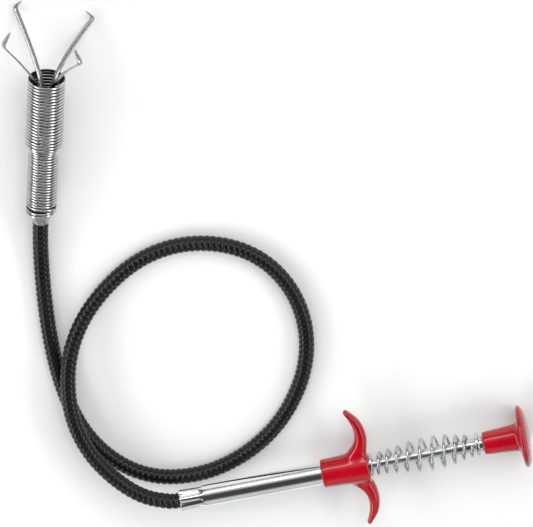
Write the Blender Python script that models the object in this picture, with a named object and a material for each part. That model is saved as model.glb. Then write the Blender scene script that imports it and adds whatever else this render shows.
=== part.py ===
"""Hand drain claw: a thumb plunger drives a cable through a flexible hose and
opens four hooked claws at the mouth of a wound spring head.

World frame: metres, +Z up, the tool lies on the plane z = 0. The handle's axis
is parallel to +X (hose end towards -X, thumb button towards +X). The spring
head points away along +Y, raised a little by the claws that rest on the floor.
"""
import bpy
import bmesh
import math
from mathutils import Matrix, Vector

MM = 0.001

# ---------------------------------------------------------------- dimensions
# Layout. The layout frame starts at the hose end of the handle; FRAME_X and
# FRAME_Y move it so that the world origin is below the middle of the tool.
FRAME_X = 69.52
FRAME_Y = 122.57
HANDLE_Z = 16.0            # handle axis above the floor

# Handle, positions along its axis from the hose end
TUBE_R = 5.5               # chrome tube, outside
TUBE_BORE_R = 5.0
TUBE_LEN = 94.5
FLUTE_LEN = 10.5           # crimped stretch that clamps the hose
FLUTE_R, FLUTE_BORE_R = 4.8, 4.35
FLUTE_COUNT = 7
FLUTE_FLARE = 0.5
HOSE_IN_TUBE = 9.5

GRIP_X0, GRIP_X1 = 73.3, 97.6
GRIP_R0, GRIP_R1 = 7.3, 8.6
GRIP_BORE_R = 5.8
GRIP_BACK_WALL = 2.4
HORN_THICK_ROOT, HORN_THICK_TIP = 9.6, 5.0

ROD_R = 2.7
ROD_X0, ROD_X1 = 58.0, 166.0
BUSH_X0, BUSH_X1 = 83.0, 94.3
COLLAR_X0, COLLAR_X1 = 65.5, 68.5

SEAT_F_X0 = 97.9           # cupped washer against the grip
SEAT_F_T = 1.5
SPRING_X0, SPRING_X1 = 99.9, 151.6
SPRING_WIRE_R = 0.7
SPRING_TURNS = 9.5
SPRING_R_END, SPRING_R_MID = 5.25, 8.3
SPRING_PHASE = 0.34        # turns, where the wire starts
SLEEVE_X0, SLEEVE_R = 140.0, 3.6   # rear seat's sleeve on the rod
SEAT_R_X0, SEAT_R_X1 = 152.5, 156.0

BUTTON_X0 = 156.4
BUTTON_APEX_X = 180.3
BUTTON_R = 16.0
BUTTON_DOME_R = 60.0
BUTTON_PAD_R = 2.2         # small flat in the middle of the dome
BUTTON_BORE_END = 166.5

# Spring head. MOUTH is the middle of its open end in the layout frame.
MOUTH = (-14.05, 241.44, 19.6)
HEAD_AZ, HEAD_EL = 74.61, 7.7
HEAD_LEN = 83.0            # mouth to the fitting's hose end
UPPER_R, UPPER_BORE_R, UPPER_LEN = 9.25, 8.05, 36.0
LOWER_R, LOWER_BORE_R, LOWER_LEN = 7.6, 6.5, 33.4
TAPER_LEN = 6.2
FIT_HEX_R = 5.55           # across corners / 2
FIT_NECK_R = 3.75
FIT_SPIGOT_R = 6.0
FIT_SPIGOT_LEN = 9.0
FIT_BORE_R = 1.15

# Claws, in the head's frame: radius and distance in front of the mouth
# Each claw: turn about the head axis (deg), place of its bend (z, radius) and
# the hook's inward slope (deg). They are bent by hand, so no two are alike.
CLAWS = ((46.1, 22.5, 30.3, 44.0), (128.4, 25.9, 28.4, 43.0),
         (218.3, 25.7, 27.4, 35.0), (303.0, 23.4, 30.6, 52.0))
CLAW_ROOT_Z, CLAW_ROOT_R = -11.0, 3.2
CLAW_MOUTH_R = 7.1
CLAW_MOUTH_SLOPE = 33.0
CLAW_W, CLAW_T = 2.5, 0.7
HOOK_LEN = 7.5
HUB_Z0, HUB_Z1, HUB_R = -19.5, -11.6, 4.3

# Hose and cable
HOSE_R = 4.0
JACKET_T = 0.9
CORE_R, CORE_T = 2.75, 0.8
CABLE_R = 0.75
CABLE_HEAD_LEN = 34.0
HOSE_STEP = 15.0

# The hose's route from the handle to the head, in the layout frame. The
# first stretch carries it over the later one, which lies on the floor.
ROUTE = [
    (-7.7, 1.15, 15.9), (-14.8, 4.1, 15.7), (-21.8, 9.1, 15.3), (-28.5, 16.3, 14.8),
    (-35.3, 26.0, 14.3), (-39.8, 36.1, 14.0), (-42.5, 46.1, 13.7), (-43.6, 55.3, 13.4),
    (-43.2, 65.5, 13.1), (-41.1, 77.5, 12.5), (-37.5, 88.6, 11.4), (-32.2, 98.6, 9.8),
    (-25.6, 107.3, 8.0), (-17.5, 115.0, 6.4), (-7.0, 122.6, 4.9), (5.1, 129.0, 4.15),
    (18.1, 132.8, 4.05), (31.6, 133.5, 4.05), (44.6, 131.0, 4.05), (56.8, 125.5, 4.05),
    (67.2, 116.7, 4.05), (74.9, 104.9, 4.05), (79.3, 91.2, 4.05), (80.3, 76.4, 4.05),
    (77.7, 61.5, 4.05), (72.0, 47.7, 4.05), (63.7, 35.3, 4.05), (53.5, 24.6, 4.05),
    (41.6, 16.4, 4.05), (28.6, 10.6, 4.05), (14.9, 7.5, 4.05), (1.1, 7.6, 4.05),
    (-12.0, 10.8, 4.05), (-21.8, 16.6, 4.05), (-29.8, 24.1, 4.05), (-35.9, 32.6, 4.05),
    (-40.5, 42.1, 4.05), (-43.5, 51.9, 4.05), (-45.4, 62.8, 4.05), (-46.5, 76.8, 4.05),
    (-46.4, 91.8, 4.05), (-45.4, 106.8, 4.05), (-43.7, 121.7, 4.1), (-41.6, 135.6, 4.6),
]


# ------------------------------------------------------------------- helpers
def clear_scene():
    for ob in list(bpy.data.objects):
        bpy.data.objects.remove(ob, do_unlink=True)


def world(p):
    """Layout millimetres to world metres."""
    return Vector(((p[0] - FRAME_X) * MM, (p[1] - FRAME_Y) * MM, p[2] * MM))


def material(name, colour, rough, metal):
    m = bpy.data.materials.get(name)
    if m is None:
        m = bpy.data.materials.new(name)
        m.use_nodes = True
        b = m.node_tree.nodes["Principled BSDF"]
        b.inputs["Base Color"].default_value = (*colour, 1.0)
        b.inputs["Roughness"].default_value = rough
        b.inputs["Metallic"].default_value = metal
    return m


def empty(name, matrix, parent=None):
    e = bpy.data.objects.new(name, None)
    e.empty_display_size = 0.01
    bpy.context.scene.collection.objects.link(e)
    if parent is not None:
        e.parent = parent
    e.matrix_basis = matrix
    return e


def mesh_object(name, bm, mat, parent=None, matrix=None, sharp=35.0):
    bmesh.ops.remove_doubles(bm, verts=bm.verts, dist=1e-7)
    bmesh.ops.recalc_face_normals(bm, faces=bm.faces)
    me = bpy.data.meshes.new(name)
    bm.to_mesh(me)
    bm.free()
    me.shade_smooth()
    me.set_sharp_from_angle(angle=math.radians(sharp))
    ob = bpy.data.objects.new(name, me)
    ob.data.materials.append(mat)
    bpy.context.scene.collection.objects.link(ob)
    if parent is not None:
        ob.parent = parent
    if matrix is not None:
        ob.matrix_basis = matrix
    return ob


def turned(profile, n, loop, radius_of=None):
    """Turn a profile of (axial, radius) millimetres about local Z. With loop
    set the profile closes on itself and makes a ring; otherwise its first and
    last points lie on the axis. radius_of(z, r, angle) may shape the rings."""
    bm = bmesh.new()
    rings = []
    for z, r in profile:
        if r == 0.0:
            rings.append([bm.verts.new((0, 0, z * MM))])
            continue
        ring = []
        for k in range(n):
            a = 2 * math.pi * k / n
            rr = radius_of(z, r, a) if radius_of else r
            ring.append(bm.verts.new((rr * math.cos(a) * MM, rr * math.sin(a) * MM, z * MM)))
        rings.append(ring)
    count = len(rings)
    for i in range(count if loop else count - 1):
        a, b = rings[i], rings[(i + 1) % count]
        for k in range(n):
            k2 = (k + 1) % n
            if len(a) == 1:
                bm.faces.new((a[0], b[k], b[k2]))
            elif len(b) == 1:
                bm.faces.new((a[k], b[0], a[k2]))
            else:
                bm.faces.new((a[k], b[k], b[k2], a[k2]))
    return bm


def arc_points(cx, cy, r, a0, a1, n):
    return [(cx + r * math.cos(math.radians(a0 + (a1 - a0) * i / n)),
             cy + r * math.sin(math.radians(a0 + (a1 - a0) * i / n))) for i in range(n + 1)]


def hermite(p0, m0, p1, m1, t):
    h00 = 2 * t ** 3 - 3 * t ** 2 + 1
    h10 = t ** 3 - 2 * t ** 2 + t
    h01 = -2 * t ** 3 + 3 * t ** 2
    h11 = t ** 3 - t ** 2
    return tuple(h00 * a + h10 * b + h01 * c + h11 * d for a, b, c, d in zip(p0, m0, p1, m1))


def smooth_curve(points, per_span=12):
    """Dense points of a centripetal-like cardinal curve through the points."""
    pts = [Vector(p) for p in points]
    ext = [pts[0] * 2 - pts[1]] + pts + [pts[-1] * 2 - pts[-2]]
    out = []
    for i in range(1, len(ext) - 2):
        p0, p1, p2, p3 = ext[i - 1], ext[i], ext[i + 1], ext[i + 2]
        d1 = (p2 - p1).length
        m1 = (p2 - p0) / ((p1 - p0).length + d1) * d1
        m2 = (p3 - p1) / (d1 + (p3 - p2).length) * d1
        for k in range(per_span):
            out.append(Vector(hermite(p1, m1, p2, m2, k / per_span)))
    out.append(pts[-1])
    return out


def fair(points, rounds):
    """Even out small waves without drawing the loop in: each smoothing step is
    followed by one the other way. Two points at each end keep their place."""
    pts = [p.copy() for p in points]
    for _ in range(rounds):
        for step in (0.5, -0.52):
            new = [p.copy() for p in pts]
            for i in range(2, len(pts) - 2):
                new[i] = pts[i] + ((pts[i - 1] + pts[i + 1]) * 0.5 - pts[i]) * step
            pts = new
    return pts


def resample(points, step):
    dist = [0.0]
    for a, b in zip(points, points[1:]):
        dist.append(dist[-1] + (b - a).length)
    n = max(2, int(round(dist[-1] / step)))
    out, j = [], 0
    for i in range(n + 1):
        s = dist[-1] * i / n
        while j < len(dist) - 2 and dist[j + 1] < s:
            j += 1
        f = 0.0 if dist[j + 1] == dist[j] else (s - dist[j]) / (dist[j + 1] - dist[j])
        out.append(points[j].lerp(points[j + 1], min(1.0, f)))
    return out


def strip(sections):
    """Closed solid through rectangular sections, each four corner points."""
    bm = bmesh.new()
    rings = [[bm.verts.new(c) for c in s] for s in sections]
    for a, b in zip(rings, rings[1:]):
        for k in range(4):
            bm.faces.new((a[k], a[(k + 1) % 4], b[(k + 1) % 4], b[k]))
    bm.faces.new(list(reversed(rings[0])))
    bm.faces.new(rings[-1])
    return bm


def poly_curve(name, points, radius, mat, resolution, cyclic=False):
    cu = bpy.data.curves.new(name, "CURVE")
    cu.dimensions = "3D"
    cu.twist_mode = "MINIMUM"
    cu.bevel_mode = "ROUND"
    cu.bevel_depth = radius
    cu.bevel_resolution = resolution
    sp = cu.splines.new("POLY")
    sp.points.add(len(points) - 1)
    for p, q in zip(sp.points, points):
        p.co = (q.x, q.y, q.z, 1.0)
    ob = bpy.data.objects.new(name, cu)
    ob.data.materials.append(mat)
    bpy.context.scene.collection.objects.link(ob)
    return ob


def boolean(ob, other, operation):
    md = ob.modifiers.new(operation.lower(), "BOOLEAN")
    md.operation = operation
    md.solver = "EXACT"
    md.object = other
    other.hide_render = True
    other.display_type = "WIRE"


# ----------------------------------------------------------------- materials
def make_materials():
    return {
        "red": material("red_gloss_plastic", (0.56, 0.006, 0.03), 0.22, 0.0),
        "chrome": material("chrome_plate", (0.80, 0.81, 0.82), 0.08, 1.0),
        "spring": material("spring_steel", (0.62, 0.63, 0.64), 0.18, 1.0),
        "steel": material("plain_steel", (0.50, 0.51, 0.52), 0.30, 1.0),
        "zinc": material("zinc_steel", (0.42, 0.43, 0.44), 0.35, 1.0),
        "black": material("black_vinyl", (0.012, 0.012, 0.012), 0.45, 0.0),
        "nylon": material("white_nylon", (0.75, 0.75, 0.72), 0.50, 0.0),
    }


# -------------------------------------------------------------------- handle
def build_handle(mats):
    frame = Matrix.Translation(world((0, 0, HANDLE_Z))) @ Matrix.Rotation(math.radians(90), 4, "Y")
    handle = empty("handle_axis", frame)
    plunger = empty("plunger_axis", Matrix.Identity(4), handle)

    # Tube: its hose end is crimped into shallow flutes that flare a little.
    def fluted(z, r, a):
        if z > FLUTE_LEN or r < FLUTE_R - 0.05:
            return r
        k = 1.0 - z / FLUTE_LEN
        wave = 0.5 + 0.5 * math.cos(FLUTE_COUNT * a)
        return r + FLUTE_FLARE * k * wave
    prof = [(0.0, FLUTE_BORE_R), (FLUTE_LEN, FLUTE_BORE_R), (FLUTE_LEN + 1.6, TUBE_BORE_R), (TUBE_LEN, TUBE_BORE_R), (TUBE_LEN, TUBE_R),
            (FLUTE_LEN + 1.6, TUBE_R), (FLUTE_LEN, FLUTE_R), (7.0, FLUTE_R), (3.5, FLUTE_R), (0.0, FLUTE_R)]
    mesh_object("handle_tube", turned(prof, 28, True, fluted), mats["chrome"], handle)

    # Bush that guides the rod at the tube's button end
    prof = [(BUSH_X0, ROD_R + 0.35), (BUSH_X1, ROD_R + 0.35), (BUSH_X1, TUBE_BORE_R - 0.3), (BUSH_X0, TUBE_BORE_R - 0.3)]
    mesh_object("rod_guide_bush", turned(prof, 20, True), mats["nylon"], handle)

    # Finger grip: tapered sleeve with two swept horns
    e = 0.6
    prof = [(GRIP_X0, 0.0), (GRIP_X0, GRIP_R0 - e), (GRIP_X0 + 0.2 * e, GRIP_R0 - 0.3 * e), (GRIP_X0 + e, GRIP_R0),
            (GRIP_X0 + 8, GRIP_R0 + 0.3), (GRIP_X0 + 16, GRIP_R0 + 0.85), (GRIP_X1 - e, GRIP_R1),
            (GRIP_X1 - 0.2 * e, GRIP_R1 - 0.3 * e), (GRIP_X1, GRIP_R1 - e), (GRIP_X1, 0.0)]
    grip = mesh_object("finger_grip", turned(prof, 28, False), mats["red"], handle)
    # Horn stations: distance from the axis, front edge and back edge along it
    stations = [(2.0, 85.0, 96.6), (7.0, 86.6, 97.4), (10.3, 89.5, 98.9), (12.7, 91.4, 99.3), (15.6, 92.8, 99.5),
                (18.9, 93.4, 99.3), (22.3, 93.2, 98.7), (25.6, 92.4, 97.4), (28.5, 91.3, 95.5), (30.9, 90.2, 93.5)]
    for side, tag in ((1, "upper"), (-1, "lower")):
        bm = bmesh.new()
        rings = []
        n = 14
        last = len(stations) - 1
        cs = [Vector((s[0], 0.5 * (s[1] + s[2]))) for s in stations]
        for i, (y, xf, xb) in enumerate(stations):
            d = (cs[min(i + 1, last)] - cs[max(i - 1, 0)]).normalized()
            f = i / last
            th = 0.5 * (HORN_THICK_ROOT * (1 - f) + HORN_THICK_TIP * f)
            # half width square to the horn's own centre line
            hw = 0.5 * (xb - xf) * max(0.55, d.x)
            ring = []
            for k in range(n):
                a = 2 * math.pi * k / n
                u, v = math.cos(a) * hw, math.sin(a) * th
                yy = cs[i].x + u * -d.y
                xx = cs[i].y + u * d.x
                ring.append(bm.verts.new((v * MM, side * yy * MM, xx * MM)))
            rings.append(ring)
        d = (cs[last] - cs[last - 1]).normalized()
        for j, (adv, shrink) in enumerate(((1.0, 0.82), (1.75, 0.45))):
            c = cs[last] + d * adv
            hw = 0.5 * (stations[last][2] - stations[last][1]) * max(0.55, d.x) * shrink
            th = 0.5 * HORN_THICK_TIP * shrink
            ring = []
            for k in range(n):
                a = 2 * math.pi * k / n
                u, v = math.cos(a) * hw, math.sin(a) * th
                ring.append(bm.verts.new((v * MM, side * (c.x - u * d.y) * MM, (c.y + u * d.x) * MM)))
            rings.append(ring)
        for a, b in zip(rings, rings[1:]):
            for k in range(n):
                bm.faces.new((a[k], a[(k + 1) % n], b[(k + 1) % n], b[k]))
        bm.faces.new(rings[0])
        tip = cs[last] + d * 2.0
        tv = bm.verts.new((0, side * tip.x * MM, tip.y * MM))
        for k in range(n):
            bm.faces.new((rings[-1][k], rings[-1][(k + 1) % n], tv))
        horn = mesh_object("cut_horn_" + tag, bm, mats["red"], handle)
        boolean(grip, horn, "UNION")
    prof = [(GRIP_X0 - 2, 0.0), (GRIP_X0 - 2, GRIP_BORE_R), (GRIP_X1 - GRIP_BACK_WALL, GRIP_BORE_R),
            (GRIP_X1 - GRIP_BACK_WALL, ROD_R + 0.45), (GRIP_X1 + 4, ROD_R + 0.45), (GRIP_X1 + 4, 0.0)]
    bore = mesh_object("cut_grip_bore", turned(prof, 28, False), mats["red"], handle)
    boolean(grip, bore, "DIFFERENCE")

    # Cupped washer between the grip and the spring
    z0, t = SEAT_F_X0, SEAT_F_T
    prof = [(z0, ROD_R + 0.35), (z0 + t, ROD_R + 0.35), (z0 + t, 5.2), (z0 + t - 0.35, 5.75), (z0 + 0.2, 5.75), (z0, 5.4)]
    mesh_object("front_spring_seat", turned(prof, 24, True), mats["steel"], handle)

    # Rod, stop collar and rear seat travel with the button
    prof = [(ROD_X0, 0.0), (ROD_X0, ROD_R - 0.4), (ROD_X0 + 0.5, ROD_R), (ROD_X1 - 0.5, ROD_R), (ROD_X1, ROD_R - 0.4), (ROD_X1, 0.0)]
    mesh_object("plunger_rod", turned(prof, 22, False), mats["chrome"], plunger)
    prof = [(COLLAR_X0, ROD_R + 0.3), (COLLAR_X1, ROD_R + 0.3), (COLLAR_X1, 4.5), (COLLAR_X0, 4.5)]
    mesh_object("rod_stop_collar", turned(prof, 20, True), mats["steel"], plunger)
    prof = [(SLEEVE_X0, ROD_R + 0.3), (SEAT_R_X1, ROD_R + 0.3), (SEAT_R_X1, 4.1), (SEAT_R_X0 + 1.7, 4.1),
            (SEAT_R_X0 + 1.5, 6.0), (SEAT_R_X0 + 0.3, 6.15), (SEAT_R_X0, 5.9), (SEAT_R_X0, SLEEVE_R), (SLEEVE_X0, SLEEVE_R)]
    mesh_object("rear_spring_seat", turned(prof, 24, True), mats["steel"], plunger)

    # Thumb button: tapered stem, thin round flange with a domed outer face
    prof = [(BUTTON_X0, ROD_R + 0.35), (BUTTON_X0, 5.2), (BUTTON_X0 + 0.5, 5.75), (BUTTON_X0 + 3.6, 6.1), (BUTTON_X0 + 8, 6.3),
            (BUTTON_X0 + 12, 6.65), (172.6, 7.05), (173.8, 7.5), (174.5, 8.6), (174.85, 11.0), (175.1, 13.8), (175.4, 15.1),
            (175.9, BUTTON_R - 0.25), (176.5, BUTTON_R), (177.2, BUTTON_R - 0.2), (177.8, BUTTON_R - 0.8), (178.3, BUTTON_R - 1.7)]
    for r in (13.0, 11.0, 8.8, 6.5, 4.2, BUTTON_PAD_R):
        drop = math.sqrt(BUTTON_DOME_R ** 2 - BUTTON_PAD_R ** 2) - math.sqrt(BUTTON_DOME_R ** 2 - r ** 2)
        prof.append((BUTTON_APEX_X - drop, r))
    prof += [(BUTTON_APEX_X, 0.0)]
    prof = [(BUTTON_BORE_END, 0.0), (BUTTON_BORE_END, ROD_R + 0.35)] + prof
    mesh_object("thumb_button", turned(prof, 40, False), mats["red"], plunger)

    # Barrel-shaped return spring
    pts = []
    per = 15
    total = int(SPRING_TURNS * per)
    for i in range(total + 1):
        f = i / total
        a = 2 * math.pi * (SPRING_TURNS * f + SPRING_PHASE)
        # widest a little behind the middle
        r = SPRING_R_END + (SPRING_R_MID - SPRING_R_END) * max(0.0, math.sin(math.pi * f ** 1.2)) ** 1.8
        # closed end turns, then an even pitch
        g = f - 0.035 * math.sin(2 * math.pi * f)
        z = SPRING_X0 + SPRING_WIRE_R + (SPRING_X1 - SPRING_X0 - 2 * SPRING_WIRE_R) * g
        pts.append(world((z, r * math.cos(a), HANDLE_Z - r * math.sin(a))))
    poly_curve("return_spring", pts, SPRING_WIRE_R * MM, mats["spring"], 2).data.use_fill_caps = True

    # Cable's handle end, on the plunger
    prof = [(ROD_X0 - 0.3, 0.0), (ROD_X0 - 0.3, CABLE_R), (HOSE_IN_TUBE + 4.0, CABLE_R), (HOSE_IN_TUBE + 4.0, 0.0)]
    mesh_object("cable_handle", turned(prof, 10, False), mats["steel"], plunger)
    return handle


# ---------------------------------------------------------------------- head
def head_matrix():
    az, el = math.radians(HEAD_AZ), math.radians(HEAD_EL)
    h = Vector((math.cos(el) * math.cos(az), math.cos(el) * math.sin(az), math.sin(el)))
    right = Vector((math.sin(az), -math.cos(az), 0.0))
    down = h.cross(right)
    m = Matrix((right, down, h)).transposed().to_4x4()
    m.translation = world(MOUTH)
    return m


def claw_path(bend, hook_in):
    """Centre line of one claw as (z, r), root to tip."""
    am = math.radians(CLAW_MOUTH_SLOPE)
    root, mouth = (CLAW_ROOT_Z, CLAW_ROOT_R), (0.0, CLAW_MOUTH_R)
    a0 = math.atan2(mouth[1] - root[1], mouth[0] - root[0])
    a0 = a0 - (am - a0) * 0.8
    c = math.hypot(mouth[0] - root[0], mouth[1] - root[1])
    pts = [hermite(root, (math.cos(a0) * c, math.sin(a0) * c), mouth, (math.cos(am) * c, math.sin(am) * c), k / 7) for k in range(7)]
    c2 = math.hypot(bend[0] - mouth[0], bend[1] - mouth[1])
    a2 = math.atan2(bend[1] - mouth[1], bend[0] - mouth[0])
    ae = a2 + (a2 - am) * 0.6
    arm = [hermite(mouth, (math.cos(am) * c2, math.sin(am) * c2), bend, (math.cos(ae) * c2, math.sin(ae) * c2), k / 40) for k in range(41)]
    # round the bend, then run straight to the tip
    cut = 2.4
    keep = [p for p in arm if math.hypot(p[0] - bend[0], p[1] - bend[1]) > cut]
    pts += keep[::5] + ([keep[-1]] if keep[-1] not in keep[::5] else [])
    hk = math.radians(hook_in)
    tip = (bend[0] + HOOK_LEN * math.cos(hk), bend[1] - HOOK_LEN * math.sin(hk))
    b0 = keep[-1]
    b2 = (bend[0] + cut * math.cos(hk), bend[1] - cut * math.sin(hk))
    for k in range(1, 7):
        t = k / 6
        pts.append(tuple((1 - t) ** 2 * a + 2 * t * (1 - t) * b + t * t * c for a, b, c in zip(b0, bend, b2)))
    for k in (0.35, 0.7, 1.0):
        pts.append((b2[0] + (tip[0] - b2[0]) * k, b2[1] + (tip[1] - b2[1]) * k))
    return pts


def claw_mesh(bend, hook_in):
    pts = claw_path(bend, hook_in)
    sections = []
    dist = [0.0]
    for a, b in zip(pts, pts[1:]):
        dist.append(dist[-1] + math.hypot(b[0] - a[0], b[1] - a[1]))
    for i, (z, r) in enumerate(pts):
        a, b = pts[max(0, i - 1)], pts[min(len(pts) - 1, i + 1)]
        l = math.hypot(b[0] - a[0], b[1] - a[1])
        tz, tr = (b[0] - a[0]) / l, (b[1] - a[1]) / l
        left = dist[-1] - dist[i]
        w = CLAW_W if left > 4.5 else CLAW_W * (0.42 + 0.58 * left / 4.5)
        h = CLAW_T if left > 2.5 else CLAW_T * (0.55 + 0.45 * left / 2.5)
        # normal of the strip in the (z, r) plane
        nz, nr = -tr, tz
        sec = []
        for su, sv in ((-1, -1), (1, -1), (1, 1), (-1, 1)):
            rr = r + sv * nr * h / 2 - CLAW_ROOT_R
            zz = z + sv * nz * h / 2 - CLAW_ROOT_Z
            sec.append((rr * MM, su * w / 2 * MM, zz * MM))
        sections.append(sec)
    return strip(sections)


def build_head(mats):
    head = empty("head_axis", head_matrix())
    slide = empty("hub_slide_axis", Matrix.Identity(4), head)

    # Wound spring body as a stepped sleeve
    z1 = -UPPER_LEN
    z2 = z1 - TAPER_LEN
    z3 = z2 - LOWER_LEN
    prof = [(0.0, UPPER_BORE_R), (0.0, UPPER_R), (z1, UPPER_R), (z1 - 0.5 * TAPER_LEN, 0.5 * (UPPER_R + LOWER_R)), (z2, LOWER_R),
            (z3, LOWER_R), (z3, LOWER_BORE_R), (z2, LOWER_BORE_R), (z1, UPPER_BORE_R)]
    mesh_object("claw_housing_spring", turned(prof, 32, True), mats["spring"], head)

    # Fitting: spigot inside the spring, hexagon, neck that meets the hose
    zs = z3 + FIT_SPIGOT_LEN
    zc = z3 - 0.3
    zn = -HEAD_LEN
    bm = turned([(zs, FIT_BORE_R), (zs, FIT_SPIGOT_R - 0.4), (zs - 0.8, FIT_SPIGOT_R), (zc + 0.05, FIT_SPIGOT_R),
                 (zc, FIT_HEX_R), (zc - 3.4, FIT_HEX_R), (zc - 4.4, FIT_NECK_R + 0.6), (zn + 1.2, FIT_NECK_R + 0.1), (zn, FIT_NECK_R - 0.1), (zn, FIT_BORE_R)], 24, True,
                lambda z, r, a: r if abs(r - FIT_HEX_R) > 1e-6 else r * math.cos(math.pi / 6) / math.cos(((a + math.pi / 6) % (math.pi / 3)) - math.pi / 6))
    mesh_object("hose_end_fitting", bm, mats["zinc"], head)

    # Hub that carries the claws, and the cable's head end behind it
    prof = [(HUB_Z0, 0.0), (HUB_Z0, HUB_R - 0.9), (HUB_Z0 + 0.9, HUB_R), (HUB_Z1 - 0.4, HUB_R), (HUB_Z1, HUB_R - 0.4), (HUB_Z1, 0.0)]
    mesh_object("claw_hub", turned(prof, 20, False), mats["steel"], slide)
    prof = [(HUB_Z0 - 0.3, 0.0), (HUB_Z0 - 0.3, CABLE_R), (HUB_Z0 - CABLE_HEAD_LEN, CABLE_R), (HUB_Z0 - CABLE_HEAD_LEN, 0.0)]
    mesh_object("cable_head", turned(prof, 10, False), mats["steel"], slide)

    for i, (turn, bend_z, bend_r, hook_in) in enumerate(CLAWS):
        m = Matrix.Rotation(math.radians(turn), 4, "Z") @ Matrix.Translation((CLAW_ROOT_R * MM, 0, CLAW_ROOT_Z * MM))
        pivot = empty("claw_pivot_%d" % (i + 1), m, slide)
        mesh_object("claw_%d" % (i + 1), claw_mesh((bend_z, bend_r), hook_in), mats["spring"], pivot)
    return head


# ---------------------------------------------------------------------- hose
def hose_points(z_head):
    """The hose's centre line, handle to head, world metres. z_head is where it
    ends along the head axis, in millimetres from the mouth."""
    m = head_matrix()
    h = m.col[2].xyz
    end = m.translation + h * (z_head * MM)
    pts = [world((-1.0, 0, HANDLE_Z)), world((-4.0, 0.3, HANDLE_Z))]
    mid = [world(p) for p in ROUTE]
    tail = [end - h * (d * MM) for d in (8.0, 4.0)]
    for p in tail:
        p.z = max(p.z, (HOSE_R + 0.05) * MM)
    return pts + mid + tail + [end]


def annular(ob, thickness):
    md = ob.modifiers.new("wall", "SOLIDIFY")
    md.thickness = thickness
    md.offset = -1.0
    md.use_rim = True
    md.use_even_offset = False


def build_hose(mats):
    free = resample(fair(resample(smooth_curve(hose_points(-HEAD_LEN - 0.3)), 0.004), 30), HOSE_STEP * MM)
    line = [world((HOSE_IN_TUBE, 0, HANDLE_Z))] + free
    poly_curve("hose_jacket", line, HOSE_R * MM, mats["black"], 2)
    annular(bpy.data.objects["hose_jacket"], JACKET_T * MM)
    poly_curve("hose_spring_core", line, CORE_R * MM, mats["spring"], 2)
    annular(bpy.data.objects["hose_spring_core"], CORE_T * MM)
    cable = poly_curve("cable_hose", line, CABLE_R * MM, mats["steel"], 2)
    cable.data.use_fill_caps = True


def main():
    clear_scene()
    mats = make_materials()
    build_handle(mats)
    build_head(mats)
    build_hose(mats)
    bpy.context.view_layer.update()


main()
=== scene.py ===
"""Looks for the hand drain claw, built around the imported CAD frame."""
import bpy
import bmesh
import math
import numpy as np
from mathutils import Matrix, Vector, noise

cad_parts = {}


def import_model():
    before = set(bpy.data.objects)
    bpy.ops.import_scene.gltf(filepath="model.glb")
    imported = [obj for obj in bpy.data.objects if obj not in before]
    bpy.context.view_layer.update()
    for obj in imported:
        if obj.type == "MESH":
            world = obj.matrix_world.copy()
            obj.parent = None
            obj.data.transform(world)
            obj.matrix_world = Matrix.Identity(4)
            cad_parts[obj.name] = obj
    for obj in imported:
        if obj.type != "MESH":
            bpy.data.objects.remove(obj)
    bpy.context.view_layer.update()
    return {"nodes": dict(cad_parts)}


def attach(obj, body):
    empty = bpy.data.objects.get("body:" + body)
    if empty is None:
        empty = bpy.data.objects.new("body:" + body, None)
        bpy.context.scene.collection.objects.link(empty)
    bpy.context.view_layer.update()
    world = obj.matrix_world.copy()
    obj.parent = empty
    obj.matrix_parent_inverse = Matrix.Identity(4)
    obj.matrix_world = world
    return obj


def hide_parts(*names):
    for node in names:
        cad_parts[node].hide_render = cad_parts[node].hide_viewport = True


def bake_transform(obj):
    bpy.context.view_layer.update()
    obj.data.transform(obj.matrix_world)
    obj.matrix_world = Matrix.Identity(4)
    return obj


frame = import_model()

MM = 0.001

# ------------------------------------------------------------- shared layout
# The same layout numbers as the CAD model, in millimetres.
FRAME_X, FRAME_Y, HANDLE_Z = 69.52, 122.57, 16.0
TUBE_R, TUBE_BORE_R, TUBE_LEN = 5.5, 5.0, 94.5
GRIP_X0, GRIP_X1, GRIP_R0, GRIP_R1, GRIP_BORE_R, GRIP_BACK_WALL = 73.3, 97.6, 7.3, 8.6, 5.8, 2.4
ROD_R, ROD_X0, ROD_X1 = 2.7, 58.0, 166.0
SEAT_F_X0, SEAT_F_T = 97.9, 1.5
SPRING_X0, SPRING_X1, SPRING_WIRE_R, SPRING_TURNS = 99.9, 151.6, 0.7, 9.5
SPRING_R_END, SPRING_R_MID, SPRING_PHASE = 5.25, 8.3, 0.34
SLEEVE_X0, SLEEVE_R = 140.0, 3.6
SEAT_R_X0, SEAT_R_X1 = 152.5, 156.0
BUTTON_X0, BUTTON_APEX_X, BUTTON_R, BUTTON_DOME_R, BUTTON_PAD_R, BUTTON_BORE_END = 156.4, 180.3, 16.0, 60.0, 2.2, 166.5
MOUTH = (-14.05, 241.44, 19.6)
HEAD_AZ, HEAD_EL, HEAD_LEN = 74.61, 7.7, 83.0
UPPER_R, UPPER_LEN, LOWER_R, LOWER_LEN, TAPER_LEN = 9.25, 36.0, 7.6, 33.4, 6.2
FIT_HEX_R, FIT_NECK_R, FIT_SPIGOT_R, FIT_SPIGOT_LEN, FIT_BORE_R = 5.55, 3.75, 6.0, 9.0, 1.15
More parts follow.
